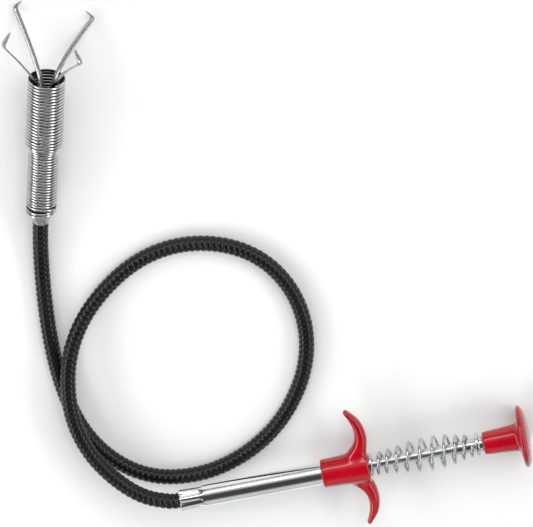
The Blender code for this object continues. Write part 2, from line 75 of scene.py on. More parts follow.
# per claw: turn about the head axis, bend (z, radius), the hook's slope
CLAWS = ((46.1, 22.5, 30.3, 44.0), (128.4, 25.9, 28.4, 43.0), (218.3, 25.7, 27.4, 35.0), (303.0, 23.4, 30.6, 52.0))
CLAW_ROOT_Z, CLAW_ROOT_R, CLAW_MOUTH_R, CLAW_MOUTH_SLOPE = -11.0, 3.2, 7.1, 33.0
CLAW_W, CLAW_T, HOOK_LEN = 2.5, 0.7, 7.5
HUB_Z0, HUB_Z1, HUB_R = -19.5, -11.6, 4.3
HOSE_R = 4.0
ROUTE = [
    (-7.7, 1.15, 15.9), (-14.8, 4.1, 15.7), (-21.8, 9.1, 15.3), (-28.5, 16.3, 14.8),
    (-35.3, 26.0, 14.3), (-39.8, 36.1, 14.0), (-42.5, 46.1, 13.7), (-43.6, 55.3, 13.4),
    (-43.2, 65.5, 13.1), (-41.1, 77.5, 12.5), (-37.5, 88.6, 11.4), (-32.2, 98.6, 9.8),
    (-25.6, 107.3, 8.0), (-17.5, 115.0, 6.4), (-7.0, 122.6, 4.9), (5.1, 129.0, 4.15),
    (18.1, 132.8, 4.05), (31.6, 133.5, 4.05), (44.6, 131.0, 4.05), (56.8, 125.5, 4.05),
    (67.2, 116.7, 4.05), (74.9, 104.9, 4.05), (79.3, 91.2, 4.05), (80.3, 76.4, 4.05),
    (77.7, 61.5, 4.05), (72.0, 47.7, 4.05), (63.7, 35.3, 4.05), (53.5, 24.6, 4.05),
    (41.6, 16.4, 4.05), (28.6, 10.6, 4.05), (14.9, 7.5, 4.05), (1.1, 7.6, 4.05),
    (-12.0, 10.8, 4.05), (-21.8, 16.6, 4.05), (-29.8, 24.1, 4.05), (-35.9, 32.6, 4.05),
    (-40.5, 42.1, 4.05), (-43.5, 51.9, 4.05), (-45.4, 62.8, 4.05), (-46.5, 76.8, 4.05),
    (-46.4, 91.8, 4.05), (-45.4, 106.8, 4.05), (-43.7, 121.7, 4.1), (-41.6, 135.6, 4.6),
]


def world(p):
    return Vector(((p[0] - FRAME_X) * MM, (p[1] - FRAME_Y) * MM, p[2] * MM))


def head_matrix():
    az, el = math.radians(HEAD_AZ), math.radians(HEAD_EL)
    h = Vector((math.cos(el) * math.cos(az), math.cos(el) * math.sin(az), math.sin(el)))
    right = Vector((math.sin(az), -math.cos(az), 0.0))
    down = h.cross(right)
    m = Matrix((right, down, h)).transposed().to_4x4()
    m.translation = world(MOUTH)
    return m


HANDLE = Matrix.Translation(world((0, 0, HANDLE_Z))) @ Matrix.Rotation(math.radians(90), 4, "Y")
HEAD = head_matrix()


# -------------------------------------------------------------------- camera
def make_camera():
    tilt, turn, dist = math.radians(24.5), math.radians(11.891), 2.4
    c, s = math.cos(tilt), math.sin(tilt)
    cr, sr = math.cos(turn), math.sin(turn)
    right = Vector((cr, -sr, 0))
    up = Vector((c * sr, c * cr, -s))
    back = Vector((s * sr, s * cr, c))
    ax, ay = 0.04350111, 0.12486574
    # middle of the view on the floor, in the layout frame
    cx, cy = ax * cr + ay * sr, -ax * sr + ay * cr
    centre = Vector((cx - FRAME_X * MM, cy - FRAME_Y * MM, 0))
    cam = bpy.data.cameras.new("camera")
    cam.sensor_fit = "HORIZONTAL"
    cam.sensor_width = 36.0
    cam.lens = 36.0 * 4800.0 / 533.0
    cam.clip_start, cam.clip_end = 0.05, 20.0
    ob = bpy.data.objects.new("camera", cam)
    m = Matrix((right, up, back)).transposed().to_4x4()
    m.translation = centre + back * dist
    ob.matrix_world = m
    bpy.context.scene.collection.objects.link(ob)
    bpy.context.scene.camera = ob


make_camera()


# ------------------------------------------------------------------- helpers
def link_mesh(name, bm_or_mesh, mat, sharp=40.0, matrix=None):
    if isinstance(bm_or_mesh, bpy.types.Mesh):
        me = bm_or_mesh
    else:
        bmesh.ops.recalc_face_normals(bm_or_mesh, faces=bm_or_mesh.faces)
        me = bpy.data.meshes.new(name)
        bm_or_mesh.to_mesh(me)
        bm_or_mesh.free()
    if matrix is not None:
        me.transform(matrix)
    me.shade_smooth()
    if sharp:
        me.set_sharp_from_angle(angle=math.radians(sharp))
    ob = bpy.data.objects.new(name, me)
    me.materials.clear()
    me.materials.append(mat)
    bpy.context.scene.collection.objects.link(ob)
    return ob


def grid_mesh(name, rings, closed_ends=True, loop=False):
    """Mesh through equal rings of points, numpy array (rings, segments, 3)."""
    rings = np.asarray(rings, float)
    n, m = rings.shape[:2]
    verts = rings.reshape(-1, 3)
    i = np.arange(n if loop else n - 1)[:, None]
    k = np.arange(m)[None, :]
    i2 = (i + 1) % n
    k2 = (k + 1) % m
    quads = np.stack([i * m + k + 0 * i, i * m + k2 + 0 * i, i2 * m + k2, i2 * m + k], -1).reshape(-1, 4)
    faces = quads.tolist()
    if closed_ends and not loop:
        faces.append(list(range(m))[::-1])
        faces.append(list(range((n - 1) * m, n * m)))
    me = bpy.data.meshes.new(name)
    me.from_pydata(verts.tolist(), [], faces)
    me.validate()
    bm = bmesh.new()
    bm.from_mesh(me)
    bmesh.ops.recalc_face_normals(bm, faces=bm.faces)
    bm.to_mesh(me)
    bm.free()
    return me


def turned(profile, n, loop, radius_of=None):
    bm = bmesh.new()
    rings = []
    for z, r in profile:
        if r == 0.0:
            rings.append([bm.verts.new((0, 0, z * MM))])
            continue
        ring = []
        for k in range(n):
            a = 2 * math.pi * k / n
            rr = radius_of(z, r, a) if radius_of else r
            ring.append(bm.verts.new((rr * math.cos(a) * MM, rr * math.sin(a) * MM, z * MM)))
        rings.append(ring)
    count = len(rings)
    for i in range(count if loop else count - 1):
        a, b = rings[i], rings[(i + 1) % count]
        for k in range(n):
            k2 = (k + 1) % n
            if len(a) == 1:
                bm.faces.new((a[0], b[k], b[k2]))
            elif len(b) == 1:
                bm.faces.new((a[k], b[0], a[k2]))
            else:
                bm.faces.new((a[k], b[k], b[k2], a[k2]))
    return bm


def hermite(p0, m0, p1, m1, t):
    h00 = 2 * t ** 3 - 3 * t ** 2 + 1
    h10 = t ** 3 - 2 * t ** 2 + t
    h01 = -2 * t ** 3 + 3 * t ** 2
    h11 = t ** 3 - t ** 2
    return tuple(h00 * a + h10 * b + h01 * c + h11 * d for a, b, c, d in zip(p0, m0, p1, m1))


def soften(profile, per=4):
    """Smooth curve through profile points (axial, radius)."""
    pts = [Vector((p[0], p[1])) for p in profile]
    ext = [pts[0] * 2 - pts[1]] + pts + [pts[-1] * 2 - pts[-2]]
    out = []
    for i in range(1, len(ext) - 2):
        p0, p1, p2, p3 = ext[i - 1], ext[i], ext[i + 1], ext[i + 2]
        d1 = (p2 - p1).length
        m1 = (p2 - p0) / max(1e-9, (p1 - p0).length + d1) * d1
        m2 = (p3 - p1) / max(1e-9, d1 + (p3 - p2).length) * d1
        for k in range(per):
            out.append(hermite(p1, m1, p2, m2, k / per))
    out.append(tuple(pts[-1]))
    return out


def fillet(profile, radii, steps=5):
    """Round the corners of an open profile: radii by point index."""
    out = []
    for i, p in enumerate(profile):
        r = radii.get(i, 0.0)
        if r <= 0 or i == 0 or i == len(profile) - 1:
            out.append(p)
            continue
        a, b, c = Vector(profile[i - 1]), Vector(p), Vector(profile[i + 1])
        u, v = (a - b), (c - b)
        d = min(r, 0.48 * u.length, 0.48 * v.length)
        s, e = b + u.normalized() * d, b + v.normalized() * d
        for k in range(steps + 1):
            t = k / steps
            q = s * (1 - t) ** 2 + b * 2 * t * (1 - t) + e * t * t
            out.append((q.x, q.y))
    return out


def smooth_curve(points, per_span=12):
    pts = [Vector(p) for p in points]
    ext = [pts[0] * 2 - pts[1]] + pts + [pts[-1] * 2 - pts[-2]]
    out = []
    for i in range(1, len(ext) - 2):
        p0, p1, p2, p3 = ext[i - 1], ext[i], ext[i + 1], ext[i + 2]
        d1 = (p2 - p1).length
        m1 = (p2 - p0) / ((p1 - p0).length + d1) * d1
        m2 = (p3 - p1) / (d1 + (p3 - p2).length) * d1
        for k in range(per_span):
            out.append(Vector(hermite(p1, m1, p2, m2, k / per_span)))
    out.append(pts[-1])
    return out


def fair(points, rounds):
    """Even out small waves without drawing the loop in: each smoothing step is
    followed by one the other way. Two points at each end keep their place."""
    pts = [p.copy() for p in points]
    for _ in range(rounds):
        for step in (0.5, -0.52):
            new = [p.copy() for p in pts]
            for i in range(2, len(pts) - 2):
                new[i] = pts[i] + ((pts[i - 1] + pts[i + 1]) * 0.5 - pts[i]) * step
            pts = new
    return pts


def resample(points, step):
    dist = [0.0]
    for a, b in zip(points, points[1:]):
        dist.append(dist[-1] + (b - a).length)
    n = max(2, int(round(dist[-1] / step)))
    out, j = [], 0
    for i in range(n + 1):
        s = dist[-1] * i / n
        while j < len(dist) - 2 and dist[j + 1] < s:
            j += 1
        f = 0.0 if dist[j + 1] == dist[j] else (s - dist[j]) / (dist[j + 1] - dist[j])
        out.append(points[j].lerp(points[j + 1], min(1.0, f)))
    return out


def frames_along(pts):
    """Rotation-minimising frames: tangents and two normals as arrays."""
    p = np.array([tuple(q) for q in pts])
    t = np.gradient(p, axis=0)
    t /= np.linalg.norm(t, axis=1)[:, None]
    ref = np.array((0.0, 0.0, 1.0))
    if abs(t[0] @ ref) > 0.9:
        ref = np.array((1.0, 0.0, 0.0))
    u = ref - t[0] * (ref @ t[0])
    u /= np.linalg.norm(u)
    us = [u]
    for i in range(1, len(p)):
        v1 = p[i] - p[i - 1]
        c1 = v1 @ v1
        if c1 < 1e-20:
            us.append(us[-1])
            continue
        ul = us[-1] - v1 * (2 / c1 * (v1 @ us[-1]))
        tl = t[i - 1] - v1 * (2 / c1 * (v1 @ t[i - 1]))
        v2 = t[i] - tl
        c2 = v2 @ v2
        un = ul if c2 < 1e-20 else ul - v2 * (2 / c2 * (v2 @ ul))
        un = un - t[i] * (un @ t[i])
        us.append(un / np.linalg.norm(un))
    us = np.array(us)
    vs = np.cross(t, us)
    return p, t, us, vs


def sweep(name, pts, radius, segs, caps=True):
    """Round tube along points. radius is metres, or a function of the arrays
    (distance, angle) that gives metres."""
    p, t, u, v = frames_along(pts)
    d = np.concatenate([[0], np.cumsum(np.linalg.norm(np.diff(p, axis=0), axis=1))])
    a = 2 * math.pi * np.arange(segs) / segs
    if callable(radius):
        r = radius(d[:, None], a[None, :], d[-1])
    else:
        r = np.full((len(p), segs), float(radius))
    rings = p[:, None, :] + r[..., None] * (np.cos(a)[None, :, None] * u[:, None, :] + np.sin(a)[None, :, None] * v[:, None, :])
    return grid_mesh(name, rings, caps)


# ----------------------------------------------------------------- materials
class Nodes:
    """Small helper that builds a node tree."""

    def __init__(self, name):
        self.mat = bpy.data.materials.new(name)
        self.mat.use_nodes = True
        self.nt = self.mat.node_tree
        self.bsdf = self.nt.nodes["Principled BSDF"]
        self.coord = self.nt.nodes.new("ShaderNodeTexCoord").outputs["Object"]

    def new(self, kind, **values):
        n = self.nt.nodes.new(kind)
        for k, v in values.items():
            if hasattr(n, k) and k not in n.inputs:
                setattr(n, k, v)
            else:
                n.inputs[k].default_value = v
        return n

    def link(self, a, b):
        self.nt.links.new(a, b)

    def scale(self, vec):
        m = self.new("ShaderNodeMapping")
        m.inputs["Scale"].default_value = vec
        self.link(self.coord, m.inputs["Vector"])
        return m.outputs["Vector"]

    def noise(self, scale, detail=3.0, rough=0.5, vector=None, distortion=0.0):
        n = self.new("ShaderNodeTexNoise")
        n.inputs["Scale"].default_value = scale
        n.inputs["Detail"].default_value = detail
        n.inputs["Roughness"].default_value = rough
        n.inputs["Distortion"].default_value = distortion
        self.link(vector if vector is not None else self.coord, n.inputs["Vector"])
        return n.outputs["Fac"]

    def ramp(self, fac, stops):
        r = self.new("ShaderNodeValToRGB")
        e = r.color_ramp.elements
        while len(e) > len(stops):
            e.remove(e[-1])
        while len(e) < len(stops):
            e.new(1.0)
        for el, (pos, col) in zip(e, stops):
            el.position = pos
            el.color = (*col, 1.0) if len(col) == 3 else col
        self.link(fac, r.inputs["Fac"])
        return r.outputs["Color"]

    def remap(self, fac, lo, hi, a, b):
        m = self.new("ShaderNodeMapRange")
        m.inputs["From Min"].default_value = lo
        m.inputs["From Max"].default_value = hi
        m.inputs["To Min"].default_value = a
        m.inputs["To Max"].default_value = b
        self.link(fac, m.inputs["Value"])
        return m.outputs["Result"]

    def mix(self, fac, a, b):
        m = self.new("ShaderNodeMix", data_type="RGBA")
        if isinstance(fac, float):
            m.inputs["Factor"].default_value = fac
        else:
            self.link(fac, m.inputs["Factor"])
        for sock, val in ((m.inputs[6], a), (m.inputs[7], b)):
            if isinstance(val, tuple):
                sock.default_value = (*val, 1.0)
            else:
                self.link(val, sock)
        return m.outputs[2]

    def math(self, op, a, b=None):
        m = self.new("ShaderNodeMath", operation=op)
        for sock, val in ((m.inputs[0], a), (m.inputs[1], b)):
            if val is None:
                continue
            if isinstance(val, (int, float)):
                sock.default_value = val
            else:
                self.link(val, sock)
        return m.outputs[0]

    def bump(self, height, strength, distance, below=None):
        b = self.new("ShaderNodeBump")
        b.inputs["Strength"].default_value = strength
        b.inputs["Distance"].default_value = distance
        self.link(height, b.inputs["Height"])
        if below is not None:
            self.link(below, b.inputs["Normal"])
        return b.outputs["Normal"]


def metal(name, light, dark, rough_lo, rough_hi, grain=(1, 1, 1), grain_scale=900.0, bump=0.06, spots=0.35, spot_scale=140.0):
    """Bright metal: cloudy tone, fine drawn or turned lines, dull spots."""
    n = Nodes(name)
    cloud = n.noise(spot_scale * 0.4, 4.0, 0.6)
    fine = n.noise(grain_scale, 2.0, 0.6, n.scale(grain))
    tone = n.mix(n.remap(cloud, 0.35, 0.7, 0.0, 1.0), light, dark)
    spot = n.remap(n.noise(spot_scale, 5.0, 0.65, distortion=0.6), 0.60, 0.74, 0.0, spots)
    tone = n.mix(spot, tone, tuple(c * 0.55 for c in dark))
    n.link(tone, n.bsdf.inputs["Base Color"])
    rough = n.math("ADD", n.remap(fine, 0.3, 0.7, rough_lo, rough_hi), n.math("MULTIPLY", spot, 0.35))
    n.link(rough, n.bsdf.inputs["Roughness"])
    n.bsdf.inputs["Metallic"].default_value = 1.0
    n.link(n.bump(fine, bump, 0.0001), n.bsdf.inputs["Normal"])
    return n.mat


def red_plastic(name):
    n = Nodes(name)
    cloud = n.noise(60.0, 3.0, 0.5)
    base = n.mix(n.remap(cloud, 0.35, 0.65, 0.0, 1.0), (0.32, 0.0003, 0.0075), (0.26, 0.0003, 0.0060))
    # edges polished a little paler by handling
    geo = n.new("ShaderNodeNewGeometry")
    edge = n.remap(geo.outputs["Pointiness"], 0.53, 0.62, 0.0, 0.30)
    base = n.mix(edge, base, (0.40, 0.006, 0.02))
    n.link(base, n.bsdf.inputs["Base Color"])
    peel = n.noise(420.0, 2.0, 0.5)
    scuff = n.noise(260.0, 6.0, 0.7, n.scale((1.0, 0.25, 1.0)), 0.4)
    rough = n.math("ADD", n.remap(peel, 0.3, 0.7, 0.20, 0.27), n.remap(scuff, 0.58, 0.72, 0.0, 0.16))
    n.link(rough, n.bsdf.inputs["Roughness"])
    n.bsdf.inputs["IOR"].default_value = 1.49
    n.bsdf.inputs["Specular IOR Level"].default_value = 0.15
    n.bsdf.inputs["Coat Weight"].default_value = 0.85
    n.bsdf.inputs["Coat IOR"].default_value = 1.5
    n.bsdf.inputs["Coat Roughness"].default_value = 0.04
    n.bsdf.inputs["Subsurface Weight"].default_value = 0.0
    b = n.bump(peel, 0.05, 0.0004)
    n.link(n.bump(scuff, 0.04, 0.0002, b), n.bsdf.inputs["Normal"])
    return n.mat


def black_vinyl(name):
    n = Nodes(name)
    cloud = n.noise(90.0, 4.0, 0.6)
    base = n.mix(n.remap(cloud, 0.35, 0.7, 0.0, 1.0), (0.0022, 0.0022, 0.0018), (0.0046, 0.0044, 0.0036))
    geo = n.new("ShaderNodeNewGeometry")
    edge = n.remap(geo.outputs["Pointiness"], 0.50, 0.56, 0.0, 0.55)
    base = n.mix(edge, base, (0.011, 0.010, 0.008))
    n.link(base, n.bsdf.inputs["Base Color"])
    fine = n.noise(1500.0, 3.0, 0.6)
    rough = n.math("ADD", n.remap(fine, 0.3, 0.7, 0.18, 0.27), n.remap(cloud, 0.4, 0.7, 0.0, 0.10))
    n.link(rough, n.bsdf.inputs["Roughness"])
    n.bsdf.inputs["IOR"].default_value = 1.5
    n.bsdf.inputs["Specular IOR Level"].default_value = 0.32
    n.link(n.bump(fine, 0.12, 0.00012), n.bsdf.inputs["Normal"])
    return n.mat


def pale_plastic(name):
    n = Nodes(name)
    cloud = n.noise(200.0, 3.0, 0.5)
    n.link(n.mix(n.remap(cloud, 0.3, 0.7, 0.0, 1.0), (0.75, 0.74, 0.70), (0.66, 0.65, 0.60)), n.bsdf.inputs["Base Color"])
    n.link(n.remap(cloud, 0.3, 0.7, 0.42, 0.58), n.bsdf.inputs["Roughness"])
    n.link(n.bump(cloud, 0.05, 0.0002), n.bsdf.inputs["Normal"])
    return n.mat


M_CHROME = metal("chrome_plate", (0.86, 0.87, 0.88), (0.76, 0.77, 0.78), 0.11, 0.17, (0.25, 1, 1), 700.0, 0.015, 0.10, 160.0)
M_ROD = metal("plunger_steel", (0.74, 0.75, 0.76), (0.58, 0.59, 0.60), 0.24, 0.33, (0.1, 1, 1), 800.0, 0.03, 0.30, 130.0)
M_WIRE = metal("spring_wire", (0.62, 0.62, 0.63), (0.42, 0.42, 0.43), 0.14, 0.24, (1, 1, 1), 1100.0, 0.02, 0.25, 170.0)
M_HEADWIRE = metal("head_spring_wire", (0.66, 0.66, 0.66), (0.56, 0.56, 0.56), 0.20, 0.225, (1, 1, 1), 500.0, 0.006, 0.08, 90.0)
def painted_shade_between_turns(mat):
    """Painted shade: darkens the wire's colour between the turns of the head spring, where the turns shade each other.
    """
    nt = mat.node_tree
    bsdf = nt.nodes["Principled BSDF"]
    at = nt.nodes.new("ShaderNodeAttribute")
    at.attribute_name = "depth"
    mr = nt.nodes.new("ShaderNodeMapRange")
    mr.inputs["From Min"].default_value, mr.inputs["From Max"].default_value = 0.22, 0.72
    nt.links.new(at.outputs["Fac"], mr.inputs["Value"])
    mx = nt.nodes.new("ShaderNodeMix")
    mx.data_type = "RGBA"
    # near-black painted shade colour for the wire's flanks that face the neighbouring turns
    mx.inputs[7].default_value = (0.018, 0.017, 0.016, 1.0)
    nt.links.new(mr.outputs["Result"], mx.inputs["Factor"])
    nt.links.new(bsdf.inputs["Base Color"].links[0].from_socket, mx.inputs[6])
    nt.links.new(mx.outputs[2], bsdf.inputs["Base Color"])


painted_shade_between_turns(M_HEADWIRE)
M_CLAW = metal("claw_strip", (0.47, 0.47, 0.47), (0.35, 0.35, 0.35), 0.25, 0.30, (1, 1, 1), 500.0, 0.008, 0.14, 90.0)
M_STEEL = metal("turned_steel", (0.72, 0.73, 0.74), (0.52, 0.53, 0.54), 0.16, 0.28, (1, 1, 1), 900.0, 0.05, 0.40, 150.0)
M_ZINC = metal("zinc_fitting", (0.52, 0.53, 0.53), (0.38, 0.39, 0.39), 0.30, 0.45, (1, 1, 1), 700.0, 0.10, 0.50, 200.0)
M_RED = red_plastic("red_plastic")
M_BLACK = black_vinyl("black_vinyl")
M_NYLON = pale_plastic("natural_nylon")


# ---------------------------------------------------------------------- hose
def hose_line():
    h = HEAD.col[2].xyz
    end = HEAD.translation + h * ((-HEAD_LEN - 0.3) * MM)
    pts = [world((-1.0, 0, HANDLE_Z)), world((-4.0, 0.3, HANDLE_Z))] + [world(p) for p in ROUTE]
    for d in (8.0, 4.0):
        q = end - h * (d * MM)
        q.z = max(q.z, (HOSE_R + 0.05) * MM)
        pts.append(q)
    pts.append(end)
    return fair(resample(smooth_curve(pts), 0.004), 30)


def build_hose():
    free = hose_line()
    start = world((7.0, 0, HANDLE_Z))
    path = resample([start, world((3.0, 0, HANDLE_Z))] + smooth_curve(free, 4), 0.003)
    length = sum((b - a).length for a, b in zip(path, path[1:]))
    dense = resample(smooth_curve(path, 6), 0.0003)
    pitch = 0.00295

    def radius(d, a, total):
        u = np.mod(d / pitch - a / (2 * math.pi), 1.0)
        ridge = np.sin(math.pi * u) ** 0.75
        # a shallow groove on the crown splits its highlight
        ridge = ridge - 0.10 * np.exp(-((u - 0.5) / 0.10) ** 2)
        return (3.42 + 0.60 * ridge) * MM

    me = sweep("hose", dense, radius, 36)
    ob = link_mesh("hose", me, M_BLACK, sharp=0)
    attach(ob, "root")
    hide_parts("hose_jacket", "hose_spring_core", "cable_hose")
    return length


# -------------------------------------------------------------------- handle
def build_tube():
    n = 168
    flutes = 7

    def outer(z, a):
        k = min(1.0, max(0.0, (13.0 - z) / 3.4))
        k = k * k * (3 - 2 * k)
        w = (0.5 + 0.5 * math.cos(flutes * a + 0.6)) ** 0.75
        # the folds run deeper and open out towards the mouth
        deep = 0.72 + 0.28 * min(1.0, max(0.0, (11.0 - z) / 8.0))
        flare = max(0.0, (3.6 - z) / 3.6) ** 2 * (0.40 + 0.14 * math.sin(3 * a + 1.0))
        return TUBE_R * (1 - k) + k * (4.52 + 0.80 * w * deep + flare * w)

    zs = [0.0, 0.15] + [0.15 + 0.35 * i for i in range(1, 37)] + [14.5, 20.0, 35.0, 55.0, 75.0, TUBE_LEN - 0.3, TUBE_LEN]
    rings = []
    ang = [2 * math.pi * k / n for k in range(n)]
    for z in zs:
        rings.append([((outer(z, a) - (0.12 if z == 0.0 or z == TUBE_LEN else 0.0)) * math.cos(a), (outer(z, a) - (0.12 if z == 0.0 or z == TUBE_LEN else 0.0)) * math.sin(a), z) for a in ang])
    for z in reversed(zs):
        wall = 0.42
        rings.append([((outer(z, a) - wall) * math.cos(a), (outer(z, a) - wall) * math.sin(a), z) for a in ang])
    me = grid_mesh("handle_tube_fine", np.array(rings) * MM, loop=True)
    ob = link_mesh("handle_tube_fine", me, M_CHROME, sharp=50, matrix=HANDLE)
    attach(ob, "root")
    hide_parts("handle_tube")


def apply_modifiers(ob):
    dg = bpy.context.evaluated_depsgraph_get()
    me = bpy.data.meshes.new_from_object(ob.evaluated_get(dg))
    ob.modifiers.clear()
    ob.data = me
    return ob


def build_grip():
    e = 0.6
    prof = [(GRIP_X0, 0.0), (GRIP_X0, GRIP_R0 - e), (GRIP_X0 + 0.2 * e, GRIP_R0 - 0.3 * e), (GRIP_X0 + e, GRIP_R0),
            (GRIP_X0 + 8, GRIP_R0 + 0.3), (GRIP_X0 + 16, GRIP_R0 + 0.85), (GRIP_X1 - e, GRIP_R1),
            (GRIP_X1 - 0.2 * e, GRIP_R1 - 0.3 * e), (GRIP_X1, GRIP_R1 - e), (GRIP_X1, 0.0)]
    ob = link_mesh("finger_grip_fine", turned(prof, 72, False), M_RED, sharp=0, matrix=HANDLE)
    stations = [(2.0, 85.0, 96.6), (7.0, 86.6, 97.4), (10.3, 89.5, 98.9), (12.7, 91.4, 99.3), (15.6, 92.8, 99.5),
                (18.9, 93.4, 99.3), (22.3, 93.2, 98.7), (25.6, 92.4, 97.4), (28.5, 91.3, 95.5), (30.9, 90.2, 93.5)]
    thick = [9.6, 9.6, 9.3, 9.0, 8.6, 8.0, 7.3, 6.5, 5.8, 5.0]
    for side in (1, -1):
        # dense stations along a smooth curve
        rows = []
        cols = [[s[0] for s in stations], [s[1] for s in stations], [s[2] for s in stations], thick]
        m = len(stations)
        for i in range(m - 1):
            for k in range(4):
                t = k / 4
                row = []
                for c in cols:
                    g0 = c[i + 1] - c[max(0, i - 1)] if i > 0 else 2 * (c[1] - c[0])
                    g1 = c[min(m - 1, i + 2)] - c[i] if i < m - 2 else 2 * (c[m - 1] - c[m - 2])
                    row.append(hermite((c[i],), (g0 / 2,), (c[i + 1],), (g1 / 2,), t)[0])
                rows.append(row)
        rows.append([c[-1] for c in cols])
        cs = [Vector((r[0], 0.5 * (r[1] + r[2]))) for r in rows]
        bm = bmesh.new()
        rings = []
        segs = 32
        last = len(rows) - 1

        def ring_at(c, d, hw, th):
            out = []
            for k in range(segs):
                a = 2 * math.pi * k / segs
                ca, sa = math.cos(a), math.sin(a)
                # slightly squared oval
                u = math.copysign(abs(ca) ** 0.88, ca) * hw
                v = math.copysign(abs(sa) ** 0.88, sa) * th
                out.append(bm.verts.new((v * MM, side * (c.x - u * d.y) * MM, (c.y + u * d.x) * MM)))
            return out
        for i, r in enumerate(rows):
            d = (cs[min(i + 1, last)] - cs[max(i - 1, 0)]).normalized()
            rings.append(ring_at(cs[i], d, 0.5 * (r[2] - r[1]) * max(0.55, d.x), 0.5 * r[3]))
        d = (cs[last] - cs[last - 1]).normalized()
        hw = 0.5 * (rows[last][2] - rows[last][1]) * max(0.55, d.x)
        th = 0.5 * rows[last][3]
        for k in range(1, 7):
            a = k / 7 * math.pi / 2
            rings.append(ring_at(cs[last] + d * (2.0 * math.sin(a)), d, hw * math.cos(a), th * math.cos(a)))
        for a, b in zip(rings, rings[1:]):
            for k in range(segs):
                bm.faces.new((a[k], a[(k + 1) % segs], b[(k + 1) % segs], b[k]))
        bm.faces.new(rings[0])
        q = cs[last] + d * 2.0
        tv = bm.verts.new((0, side * q.x * MM, q.y * MM))
        for k in range(segs):
            bm.faces.new((rings[-1][k], rings[-1][(k + 1) % segs], tv))
        horn = link_mesh("horn_tmp", bm, M_RED, sharp=0, matrix=HANDLE)
        md = ob.modifiers.new("join", "BOOLEAN")
        md.operation, md.solver, md.object = "UNION", "EXACT", horn
        apply_modifiers(ob)
        bpy.data.objects.remove(horn, do_unlink=True)
    md = ob.modifiers.new("even", "REMESH")
    md.mode, md.voxel_size = "VOXEL", 0.0004
    apply_modifiers(ob)
    # melt the corners where the horns leave the sleeve, keep the sleeve's rims
    inv = HANDLE.inverted()
    vg = ob.vertex_groups.new(name="melt")
    for v in ob.data.vertices:
        q = inv @ v.co
        z, rad = q.z / MM, math.hypot(q.x, q.y) / MM
        front = min(1.0, max(0.0, (z - GRIP_X0 - 1.2) / 3.0))
        w = front * (1.0 if rad < 22 else max(0.12, 1 - (rad - 22) / 6))
        back_rim = min(1.0, max(0.0, (rad - 7.3) / 0.9)) if z > GRIP_X1 - 0.5 else 1.0
        vg.add([v.index], max(0.08, w * back_rim), "REPLACE")
    md = ob.modifiers.new("melt", "SMOOTH")
    md.factor, md.iterations, md.vertex_group = 0.5, 34, "melt"
    apply_modifiers(ob)
    # a wide fillet round each horn's root
    vg = ob.vertex_groups.new(name="root")
    for v in ob.data.vertices:
        q = inv @ v.co
        z, y = q.z / MM, abs(q.y) / MM
        w = min(1.0, max(0.0, (y - 3.5) / 3.0)) * min(1.0, max(0.0, (19.0 - y) / 6.0)) * min(1.0, max(0.0, (z - 79.0) / 4.0))
        if z > GRIP_X1 - 1.2 and y < 9.6:
            w = 0.0
        vg.add([v.index], w, "REPLACE")
    md = ob.modifiers.new("root", "SMOOTH")
    md.factor, md.iterations, md.vertex_group = 0.5, 110, "root"
    apply_modifiers(ob)
    md = ob.modifiers.new("all", "SMOOTH")
    md.factor, md.iterations = 0.5, 2
    apply_modifiers(ob)
    prof = [(GRIP_X0 - 2, 0.0), (GRIP_X0 - 2, GRIP_BORE_R), (GRIP_X1 - GRIP_BACK_WALL, GRIP_BORE_R),
            (GRIP_X1 - GRIP_BACK_WALL, ROD_R + 0.45), (GRIP_X1 + 4, ROD_R + 0.45), (GRIP_X1 + 4, 0.0)]
    bore = link_mesh("bore_tmp", turned(prof, 64, False), M_RED, matrix=HANDLE)
    md = ob.modifiers.new("bore", "BOOLEAN")
    md.operation, md.solver, md.object = "DIFFERENCE", "EXACT", bore
    apply_modifiers(ob)
    bpy.data.objects.remove(bore, do_unlink=True)
    ob.data.materials.clear()
    ob.data.materials.append(M_RED)
    ob.data.shade_smooth()
    ob.data.set_sharp_from_angle(angle=math.radians(45))
    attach(ob, "root")
    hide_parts("finger_grip")


